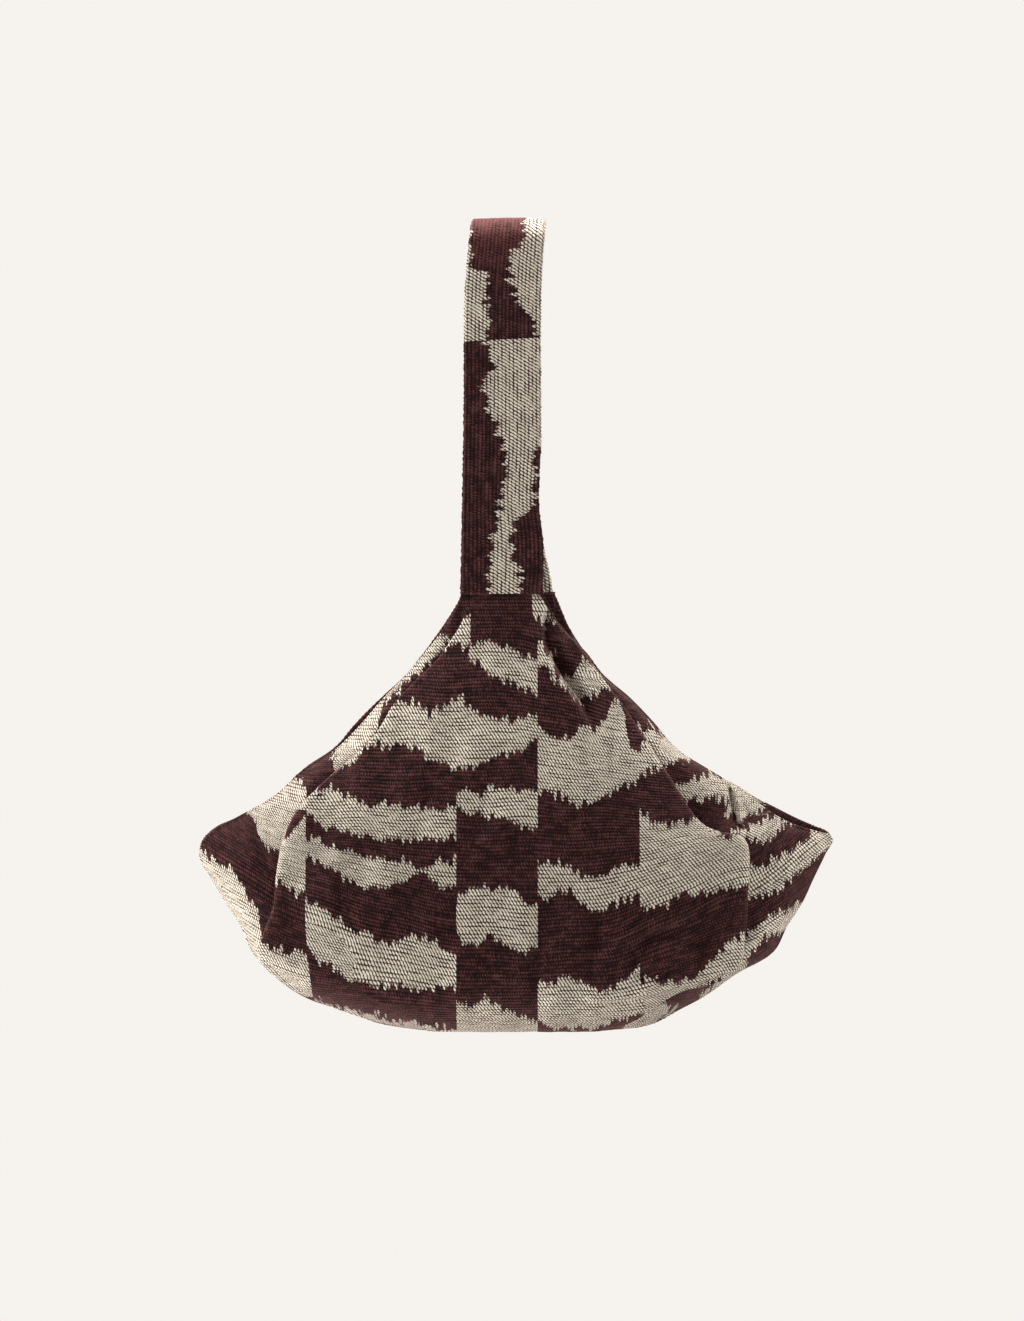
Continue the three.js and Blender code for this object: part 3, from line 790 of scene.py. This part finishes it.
def makeBagHalf(face, bands, outerPaint, innerPaint):
    # The woven cloth and the lining behind it. A rib is the |sine| of the distance across the rows, with
    # thick and thin places from sine waves along it, and is raised along the surface's normal.
    grid, marks, column = bagSurface(face)
    points = placeBag(grid, face)
    rows, columns = points.shape[:2]
    back = face == "back"
    outward = gridNormals(points) * (-1.0 if back else 1.0)

    # distance along each row from the middle
    steps = np.linalg.norm(np.diff(points, axis=1), axis=2)
    along = np.concatenate([np.zeros((rows, 1)), np.cumsum(steps, axis=1)], axis=1)
    start = int(np.argmin(np.abs(points[0, :, 0])))
    along += points[:, start:start + 1, 0] - along[:, start:start + 1]

    # Where the rows lie much further apart than at the middle, a rib is painted as two or four.
    apart = np.linalg.norm(np.diff(points, axis=0), axis=2) / np.diff(marks)[:, None]
    fineness = 2.0 ** np.clip(np.round(np.log2(np.maximum(apart, tiny))), *bag["finePowers"])
    quads = gridFaces(rows, columns)
    across = np.broadcast_to(marks[:, None], along.shape).ravel()[quads] * fineness[:, :-1, None]
    weave = np.stack([along.ravel()[quads], across], axis=-1)

    rib = np.abs(np.sin(math.pi * marks / ribPitch))[:, None]
    waves = bag["yarnWaves"]
    dice = np.random.default_rng(bag["yarnSeeds"][face])
    ribNumber = (marks / ribPitch).astype(int)
    phases = dice.uniform(0.0, math.tau, (len(waves), ribNumber[-1] + 1))[:, ribNumber, None]
    yarn = sum(share * np.sin(along / size + phase) for (share, size), phase in zip(waves, phases))
    even = between(np.vstack([apart, apart[-1:]]), *bag["evenZones"])
    lift = (bag["ribHeight"] * (rib - ribMiddle) + bag["yarnRough"] * yarn * rib) * even
    raised = points + outward * lift[..., None]

    stripe = np.zeros(quads.shape)
    for name in bands:
        field = stripeField(bands[name], grid[..., 0], grid[..., 2]).ravel()
        stripe = np.where((column == name)[:-1, :, None], field[quads], stripe)
    shell = gridPiece(face + "Cloth", raised, outerPaint, weave, stripe, flip=back)

    # the lining starts behind the facings and lies in under the cloth, clear of its lower edge
    low = grid.copy()
    for step in liningCut["neighbours"]:
        sides = np.minimum(np.roll(low[..., 1], step, axis=1), np.roll(low[..., 1], -step, axis=1))
        low[..., 1] = np.minimum(low[..., 1], sides)
    roll, sideways, upwards = bag["edgeSteps"]
    edge = roll + sideways
    over = roll + upwards
    everyRow, everyColumn = liningCut["every"]
    inRows = slice(None, -over - liningCut["rows"], everyRow)
    inColumns = slice(edge + liningCut["columns"], -edge - liningCut["columns"], everyColumn)
    across, depth, height = np.moveaxis(low[inRows, inColumns], 2, 0)
    least = liningCut["least"]
    reach = bag["facing"] + liningCut["facingReach"]
    rims = (grid[inRows, edge:edge + 1], grid[inRows, -edge - 1:-edge], grid[-over - 1:-over, inColumns])
    behind = least
    for rimAcross, rimDepth, rimHeight in (np.moveaxis(rim, 2, 0) for rim in rims):
        near = np.abs(across - rimAcross) + np.abs(height - rimHeight) < reach
        behind = np.maximum(behind, np.where(near, rimDepth - liningCut["facingClear"], least))
    lifted, zone = liningCut["lifted"]
    inside = [across * liningCut["narrowed"], np.maximum(depth - liningCut["inset"], behind),
              height + lifted * smoothStep(*zone, depth)]
    lining = gridPiece(face + "Lining", placeBag(np.stack(inside, axis=2), face), innerPaint, flip=back)
    print(face, "half of the bag:", rows, "rows of", columns)
    return shell, lining


# The strap

strap = {
    "reach": (13.3, 12.4),  # from the middle plane to the strap's middle, at its crown and at its foot
    "crownHeight": -11,
    "footHeight": -221.5,
    "width": 46,
    "thickness": (4.6, 6.4),  # of the strap, and at its foot
    "footZone": (14, 3),
    "endRound": 1.6,
    "closed": 0.01,
    "dome": 0.10,  # how far the middle of a face stands over its sides, as a share of the thickness
    "stations": 400,
    "evenFrom": 4,  # stations lie evenly from there on, and in the places below at both ends
    "endStations": [0, 0.6, 1.4, 2.4],
    "faceColumns": 78,
    "edgeColumns": 14,
    "ribHeight": 0.26,
    "yarnSeed": 31,
    "tufts": (0.07, 0.40),  # height of the yarn's thick places, on the faces and at the edges
    "tuftZone": (0.9, 1),
    "wobble": (0.5, 30, 0.3, 21),  # height, length along and across, and seed
    "jump": 69,  # how far down the stripes change column
    "jumpSkew": (0.05, 20),  # how far rows slant there, and the height of that place
    # (down, across) of the strap's two edges
    "left": [(-6, -22.2), (28, -25.8), (104, -27), (176, -28.2), (224, -29.2)],
    "right": [(-6, 22.2), (28, 19.8), (104, 19.2), (134, 19.2), (152, 18.2), (170, 18.2), (186, 20.2),
              (224, 20.4)],
    "backShift": (6, (187, 222)),  # how far the back leg's foot lies to the right, and the heights
    "backStripes": (4, 37),  # how far the back leg's stripes lie to the side and down
}

# Pale stripes of the strap, each a list of (down, right edge, left edge)
strapBands = {
    "upper": [
        [(-40, 60, 11), (-5.4, 60, 11.4), (10.2, 60, 10.2), (15, 60, 4.2), (28.2, 60, 0), (34.2, 60, 0.6),
         (41.4, 60, 4.2), (48.6, 60, 6), (53.4, 60, 12), (62.4, 60, 16.8), (70, 60, 16.8)],
        [(10, -24, -60), (27, -24, -60), (28, -15, -60), (34, -14, -60), (48, -14.5, -60), (56, -13, -60),
         (70, -13, -60)],
    ],
    "lower": [
        [(68, 60, -14.4), (85.2, 60, -8.4), (96, 60, -16.2), (104.4, 60, -10.8), (111, 60, -12.6),
         (119.4, 60, -6.6), (130.2, 60, -3), (132.5, 15.6, -2), (136.2, 15.6, -0.6), (142.8, 15.6, -2.4),
         (148.2, 15.6, 2.4), (156, 14.6, -1.8), (166.8, 14.4, -6), (173.4, 8.4, -6.6), (176.4, 4.8, -6),
         (182.4, 2.4, -5), (186, 1.4, -10.2), (193.2, 1, -10.8), (200.4, 3, -8.4), (210.6, 7.2, -12.6),
         (222, 5.4, -11.4)],
        [(232, -17, -60), (238, -15, -60), (246, -16, -60), (262, -12, -60)],
    ],
}


def strapPath():
    # The strap's middle line seen from the side: up the front leg, half a circle over the crown, down the
    # back leg. Of each station: y, z, the angle turned, and the distances down and along. Then the length.
    reach, footReach = strap["reach"]
    legTop = strap["crownHeight"]
    legLength = legTop - strap["footHeight"]
    crown = math.pi * reach
    total = 2 * legLength + crown
    ends = np.array(strap["endStations"])
    evenly = np.linspace(strap["evenFrom"], total - strap["evenFrom"], strap["stations"])
    jump = [legLength - (strap["jump"] + legTop)]
    length = np.unique(np.concatenate([evenly, ends, jump, total - ends]))
    turn = math.pi * clamp((length - legLength) / crown)
    down = np.where(length < legLength, legLength - length, np.maximum(length - legLength - crown, 0.0))
    z = legTop - down + reach * np.sin(turn)
    y = -blendIn(reach, footReach, clamp(down / legLength)) * np.cos(turn)
    return y, z, turn, -z, length, total


def makeStrap(clothPaint):
    # A flattened tube carried along the path. Each section is two domed faces and two half circles, with
    # ribs that run along the strap as the |sine| of the place round the section, and a smooth wobble.
    y, z, turn, down, length, total = strapPath()
    faceCount, edgeCount = strap["faceColumns"], strap["edgeColumns"]
    flat = np.linspace(-1.0, 1.0, faceCount, endpoint=False)
    arc = np.linspace(0.0, math.pi, edgeCount, endpoint=False)
    share = np.concatenate([flat, np.ones(edgeCount), -flat, -np.ones(edgeCount)])
    quarter = math.pi / 2
    level = np.full(faceCount, quarter)
    angle = np.concatenate([level, quarter - arc, -level, -quarter - arc])

    back = (turn / math.pi)[:, None]
    left = readOff(strap["left"], down)[:, None]
    right = readOff(strap["right"], down)[:, None]
    shift, zone = strap["backShift"]
    centre = (left + right) / 2 + shift * smoothStep(*zone, down)[:, None] * back
    fromEnd = np.minimum(length, total - length)[:, None]
    t = clamp(fromEnd / strap["endRound"])
    closed = np.sqrt(clamp(1 - (1 - t) ** 2))
    thick = blendIn(*strap["thickness"], smoothStep(*strap["footZone"], fromEnd)) * closed + strap["closed"]
    across = share * (right - left - thick) / 2 + thick / 2 * np.cos(angle)
    out = thick / 2 * np.sin(angle) * (1 + strap["dome"] * (1 - share**2))

    perimeter = np.arange(len(share)) / len(share)
    thin = strap["thickness"][0]
    ribs = round((2 * (strap["width"] - thin) + math.pi * thin) / ribPitch)
    rib = np.abs(np.sin(math.pi * ribs * perimeter))
    dice = np.random.default_rng(strap["yarnSeed"])
    yarn = dice.uniform(-1.0, 1.0, (len(y), ribs))[:, (perimeter * ribs).astype(int)]
    tufted = blendIn(*strap["tufts"], smoothStep(*strap["tuftZone"], np.abs(share)))
    lift = (strap["ribHeight"] * (rib - ribMiddle) + tufted * yarn * rib) * closed
    high, pace, girth, seed = strap["wobble"]
    across = across + lift * np.cos(angle)
    out = out + lift * np.sin(angle) + high * ripple(length[:, None] / pace, share[None, :] * girth, seed)

    skew, reach = strap["jumpSkew"]
    py = y[:, None] - out * np.cos(turn)[:, None]
    pz = z[:, None] + out * np.sin(turn)[:, None] + skew * across * bell(down[:, None], strap["jump"], reach)
    points = np.stack([centre + across, py, pz], axis=2)

    quads = gridFaces(*points.shape[:2], ring=True)
    spacing = ribPitch * ribs / len(share)
    place = np.stack(np.broadcast_arrays(length[:, None], np.arange(len(share)) * spacing), axis=2)
    weave = place.reshape(-1, 2)[quads]
    weave[:, -1, [1, 2], 1] = ribs * ribPitch

    # the back leg carries the same stripes mirrored and further down
    aside, further = strap["backStripes"]
    sideways = np.where(back > 0.5, -across - aside, across + centre)
    placeDown = np.broadcast_to(down[:, None] + np.where(back > 0.5, further, 0.0), sideways.shape)
    upper, lower = (stripeField(bands, placeDown, sideways).ravel()[quads] for bands in strapBands.values())
    middleDown = placeDown.ravel()[quads].mean(axis=2, keepdims=True)
    stripe = np.where(middleDown < strap["jump"], upper, lower)
    piece = gridPiece("strapCloth", points, clothPaint, weave, stripe, ring=True)
    print("strap:", points.shape[0], "stations of", points.shape[1])
    return piece


# Cloth

cloth = {
    "burgundy": (0.024, 0.0054, 0.0054, 1),
    # painted shade and painted highlight: the pile's colour in the gaps between ribs and on their crests
    "burgundyShaded": (0.0035, 0.0010, 0.0010, 1),
    "burgundyLit": (0.084, 0.030, 0.028, 1),
    # the pile's colour in the painted highlight over the strap's crown
    "burgundyCrownHighlight": (0.105, 0.034, 0.030, 1),
    "crownHighlight": 0.75,  # how much of the pile at the strap's crown takes the painted highlight
    "ecru": (0.79, 0.715, 0.58, 1),
    "ecruWarm": (0.58, 0.49, 0.385, 1),
    "ecruGap": (0.040, 0.025, 0.020, 1),
    "threadPitch": 2.2,
    "cellPitch": 2.05,
    "stitchPitch": 1.6,
    # how far stitches and cells shift from one row to the next, as a share of one
    "stitchTwill": 0.5,
    "cellTwill": 0.68,
    # noise along and across the ribs: its sizes in mm, detail and roughness
    "longWave": (14, 40, 1, 0.5),
    "fine": (0.8, 0.6, 3, 0.7),
    "broad": (9, 5, 2, 0.5),
    "streak": (11, 2.6, 2, 0.6),
    # noise that steps: from thread to thread and its size across the ribs, and its size along them and
    # from rib to rib
    "jitterSteps": (3.71, 16),
    "tuftSteps": (1.3, 5.3),
    # what each noise adds: to a stripe's edge in mm, to the light on the pile and to the wool's beads
    "edge": {"jitter": 13, "longWave": 5, "fine": 2},
    "pile": {"fine": 2.6, "tuft": 1.6, "broad": 2},
    "wool": {"fine": 0.8, "tuft": 0.4},
    "tooth": 2.8,
    "edgeSoft": 0.35,
    "pileRib": 1.5,
    "pileStitch": (0.9, 0.6),  # share, and middle
    "stitchSway": 3,
    "midPile": (-0.05, 0.70),
    "lightPile": (0.52, 1.30),
    # the painted highlight at the crown: how far along the strap it fades out, and the steps of the pile's
    # light it covers
    "crownHighlightReach": (10, 52),
    "crownHighlightPile": (-0.3, 0.7),
    "cellSway": 0.9,
    "cellLeast": 0.15,
    "woolRib": 0.65,
    "rowGap": (1.8, 0.42),
    "warmWool": (0.6, 0.5, 1.1, 0.7),  # share of the tufts, where it starts and is full, and how much it is
    "palestWool": (0.36, 0.78),
    "bump": {"rib": 0.7, "stitch": 0.2, "fine": 0.3, "tuft": 0.4, "bead": 0.65},
    "bumpHeight": (0.0004, 0.8),  # in metres, and strength
    "rough": (0.92, 0.1),  # of the pile, and how much less of the wool
    "fixed": {"Sheen Roughness": 0.45, "Sheen Tint": (0.95, 0.50, 0.46, 1), "Specular IOR Level": 0.12},
}


def makeClothPaint(name, sheen=0.12, crownHighlightAt=None):
    # Ribbed chenille. The stripe field and stepped noise along the ribs give the feathered edge of each
    # stripe. Burgundy ribs are soft pile, and ecru ones are rows of staggered cells with dark gaps.
    paint = Paint(bpy.data.materials.new(name))
    # the cloth's own coordinates in mm: along the ribs, and across them
    uv = paint.node("ShaderNodeUVMap", {"uv_map": "weave"})
    along, across = paint.split(uv, "XY")
    stripe = paint.node("ShaderNodeAttribute", {"attribute_name": "stripe"}, {}, "Fac")

    rows = across / ribPitch
    rowNumber = rows.floor()
    rib = rows.hump()
    threads = along / cloth["threadPitch"]
    thread = threads.floor()

    noise = {}
    for key in ("longWave", "fine", "broad", "streak"):
        alongSize, acrossSize, detail, rough = cloth[key]
        noise[key] = paint.flatNoise(along / alongSize, across / acrossSize, detail, rough)
    step, size = cloth["jitterSteps"]
    noise["jitter"] = paint.flatNoise(thread * step, rowNumber * ribPitch / size, detail=0.0)
    size, step = cloth["tuftSteps"]
    noise["tuft"] = paint.flatNoise(along / size, rowNumber * step, detail=1.0)
    fine, broad, streak, tuft = (noise[key] for key in ("fine", "broad", "streak", "tuft"))

    def stirred(key):
        return sum(noise[name].sway(reach) for name, reach in cloth[key].items())

    # a parabola over each thread, 0.5 at its middle and -0.5 at both ends
    fromMiddle = threads - thread - 0.5
    point = 0.5 - fromMiddle * fromMiddle * 4.0
    pale = (stripe + point * cloth["tooth"] + stirred("edge")).step(-cloth["edgeSoft"], cloth["edgeSoft"])

    # burgundy pile: painted highlight on the crests and painted shade in the gaps between ribs, with tufts
    # and streaks along each rib
    share, middle = cloth["pileStitch"]
    slant = rows * cloth["stitchTwill"] + broad.sway(cloth["stitchSway"])
    stitch = (along / cloth["stitchPitch"] + slant).hump()
    lit = rib * streak * cloth["pileRib"] + (stitch - middle) * share + stirred("pile")
    pile = paint.mix(lit.step(*cloth["midPile"]), cloth["burgundyShaded"], cloth["burgundy"])
    pile = paint.mix(lit.step(*cloth["lightPile"]), pile, cloth["burgundyLit"])
    # painted highlight: the pile is lighter over the strap's crown, half way along its length, where light
    # from above falls
    if crownHighlightAt is not None:
        away = abs(along - crownHighlightAt).step(*cloth["crownHighlightReach"])
        crownLit = (1.0 - away) * lit.step(*cloth["crownHighlightPile"]) * cloth["crownHighlight"]
        pile = paint.mix(crownLit, pile, cloth["burgundyCrownHighlight"])

    # ecru wool: pale cells in slanting lines, with dark ticks between them and broken gaps between rows
    slant = rows * cloth["cellTwill"] + streak.sway(cloth["cellSway"])
    cell = (along / cloth["cellPitch"] + slant).hump()
    share, middle = cloth["rowGap"]
    bead = cell.above(cloth["cellLeast"]) * rib.above(cloth["woolRib"])
    bead = bead - (1.0 - rib) * (streak - middle) * share + stirred("wool")
    tufts, low, high, most = cloth["warmWool"]
    wool = paint.mix((broad + tuft * tufts).step(low, high) * most, cloth["ecru"], cloth["ecruWarm"])
    wool = paint.mix(bead.step(*cloth["palestWool"]), cloth["ecruGap"], wool)

    bump = cloth["bump"]
    rough, less = cloth["rough"]
    nap = rib * bump["rib"] + stitch * bump["stitch"] + fine * bump["fine"] + tuft * bump["tuft"]
    return paint.finish({
        "Base Color": paint.mix(pale, pile, wool),
        "Roughness": rough - less * pale,
        "Normal": paint.bump(nap * (1.0 - pale) + bead * bump["bead"] * pale, *cloth["bumpHeight"]),
        "Sheen Weight": sheen,
        **cloth["fixed"],
    })


# The lining and the webbing. Colours are dark and light, a thread's pitch and a bump's height are in
# metres, and a noise's scale is per metre.
plain = {
    "slub": (1, 1, 6),
    "slubScale": 160,
    "broadScale": 24,
    "weaveShare": 0.25,
    "broadShare": 0.4,
    "steps": (0.3, 1.1),
    "rough": (0.75, 0.2),
    "bump": (0.5, 0.5),  # the weave's share, and strength
    "fixed": {"Sheen Weight": 0.1, "Specular IOR Level": 0.25},
    "lining": {
        "colours": [(0.16, 0.13, 0.10, 1), (0.30, 0.26, 0.21, 1)],
        "pitch": 0.0012,
        "high": 0.0003,
    },
    "webbing": {
        "colours": [(0.035, 0.022, 0.020, 1), (0.09, 0.06, 0.055, 1)],
        "pitch": 0.0018,
        "high": 0.0004,
    },
}


def makePlainClothPaint(name):
    # A plain weave of fine threads, as the product of two sines, with slubs and broad patches.
    look = plain[name]
    paint = Paint(bpy.data.materials.new(name))
    place = paint.objectPlace()
    x, y, z = paint.split(place, "XYZ")
    turn = math.tau / look["pitch"]
    weave = (x * turn).sine() * ((z + y) * turn).sine()
    slub = paint.noise(paint.stretch(place, plain["slub"]), plain["slubScale"], detail=3.0)
    light = weave * plain["weaveShare"] + slub + paint.noise(place, plain["broadScale"]) * plain["broadShare"]
    smooth, rough = plain["rough"]
    share, strength = plain["bump"]
    return paint.finish({
        "Base Color": paint.mix(light.step(*plain["steps"]), *look["colours"]),
        "Roughness": smooth + slub * rough,
        "Normal": paint.bump(weave * share + slub, look["high"], strength),
        **plain["fixed"],
    })


# The snap. A bump's height is in metres, and a noise's scale is per metre.
steel = {
    "colours": [(0.60, 0.57, 0.53, 1), (0.72, 0.69, 0.64, 1)],
    "stainSteps": (0.35, 0.75),
    "stainScale": 150,
    "brush": (1, 6, 1),
    "brushScale": 900,
    "rough": (0.24, 0.18, 0.06),  # of the steel, and what brushing and stains add
    "bump": (0.0001, 0.25),  # height and strength
}


def makeMetalPaint():
    # Brushed steel of the snap: noise stretched into small scratches, and faint stains.
    paint = Paint(bpy.data.materials.new("snapSteel"))
    place = paint.objectPlace()
    brush = paint.noise(paint.stretch(place, steel["brush"]), steel["brushScale"], detail=3.0, rough=0.7)
    stain = paint.noise(place, steel["stainScale"])
    smooth, byBrush, byStain = steel["rough"]
    return paint.finish({
        "Base Color": paint.mix(stain.step(*steel["stainSteps"]), *steel["colours"]),
        "Metallic": 1.0,
        "Roughness": smooth + brush * byBrush + stain * byStain,
        "Normal": paint.bump(brush, *steel["bump"]),
    })


# Room

def makeWorld():
    # The camera, mirrors and clear surfaces see the backdrop, and all else gets the weak ambient light.
    sky = Paint(bpy.data.worlds.new("studio"))
    rays = ("Is Camera Ray", "Is Glossy Ray", "Is Transmission Ray")
    camera, glossy, through = (sky.node("ShaderNodeLightPath", {}, {}, ray) for ray in rays)
    seen = camera.most(glossy.most(through))
    ambient = {"Color": (*room["ambient"], 1), "Strength": room["ambientStrength"]}
    light = sky.node("ShaderNodeBackground", {}, ambient)
    backdrop = sky.node("ShaderNodeBackground", {}, {"Color": (*room["backdrop"], 1)})
    surface = sky.node("ShaderNodeMixShader", {}, {0: seen, 1: light, 2: backdrop})
    sky.node("ShaderNodeOutputWorld", {}, {"Surface": surface}, None)
    bpy.context.scene.world = sky.owner


def makeFloor():
    # A round pale floor below the picture, from rings of points. It fades out at its rim.
    paint = Paint(bpy.data.materials.new("floorPaint"))
    flat = paint.stretch(paint.objectPlace(), (1, 1, 0))
    away = paint.node("ShaderNodeVectorMath", {"operation": "LENGTH"}, {0: flat}, "Value")
    first, last = room["floorRadius"]
    fadeFrom, fadeTo = (share * last * mm for share in room["floorFade"])
    faded = away.step(fadeFrom, fadeTo).above(room["floorClear"])
    below = paint.node("ShaderNodeNewGeometry", {}, {}, "Backfacing")
    pale = paint.node("ShaderNodeBsdfDiffuse", {}, {"Color": (*room["floor"], 1)})
    clear = paint.node("ShaderNodeBsdfTransparent")
    surface = paint.node("ShaderNodeMixShader", {}, {0: faded.most(below), 1: pale, 2: clear})
    paint.node("ShaderNodeOutputMaterial", {}, {"Surface": surface}, None)
    rings, count = room["floorPoints"]
    radius = np.linspace(first, last, rings)[:, None]
    angle = np.linspace(0, math.tau, count, endpoint=False)[None, :]
    low = -room["floorDrop"] + 0 * radius * angle
    points = np.stack([radius * np.cos(angle), radius * np.sin(angle), low], axis=2)
    floor = gridPiece("floor", points, paint.owner, ring=True, flip=True)


def makeLamps():
    for name, place, size, power in room["lamps"]:
        light = bpy.data.lights.new(name, "AREA")
        light.size = size * mm
        light.energy = power
        lamp = addObject(name, light)
        lamp.location = np.array(place) * mm
        lamp.rotation_mode = "QUATERNION"
        lamp.rotation_quaternion = (Vector(room["lampTarget"]) - Vector(place)).to_track_quat("-Z", "Y")


# Put together

makeCamera()
makeWorld()
makeFloor()
makeLamps()
bpy.context.scene.view_settings.view_transform = "Standard"
print("camera and room")

weavePaint = makeClothPaint("weave")
# the strap's paint has a painted highlight over its crown, half way along its length
strapPaint = makeClothPaint("strapWeave", sheen=0.2, crownHighlightAt=strapPath()[-1] / 2)
liningPaint = makePlainClothPaint("lining")
webbingPaint = makePlainClothPaint("webbing")
steelPaint = makeMetalPaint()
print("materials")

for face, bands in (("front", frontBands), ("back", makeBackBands())):
    shell, lining = makeBagHalf(face, bands, weavePaint, liningPaint)
    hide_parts(face + "_panel", face + "_left_hem", face + "_right_hem")
    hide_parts(face + "_lining")
    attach(shell, "bag")
    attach(lining, "bag")

strapCloth = makeStrap(strapPaint)
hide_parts("strap_sleeve", "strap_root_front", "strap_root_back")
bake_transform(strapCloth)

nodePaints = [
    (webbingPaint, "strap_core", "front_stay", "back_stay"),
    (steelPaint, "snap_washer_front", "snap_washer_back", "snap_socket", "snap_stud"),
]
for material, *names in nodePaints:
    for name in names:
        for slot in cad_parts[name].material_slots:
            slot.material = material
print("frame nodes finished")
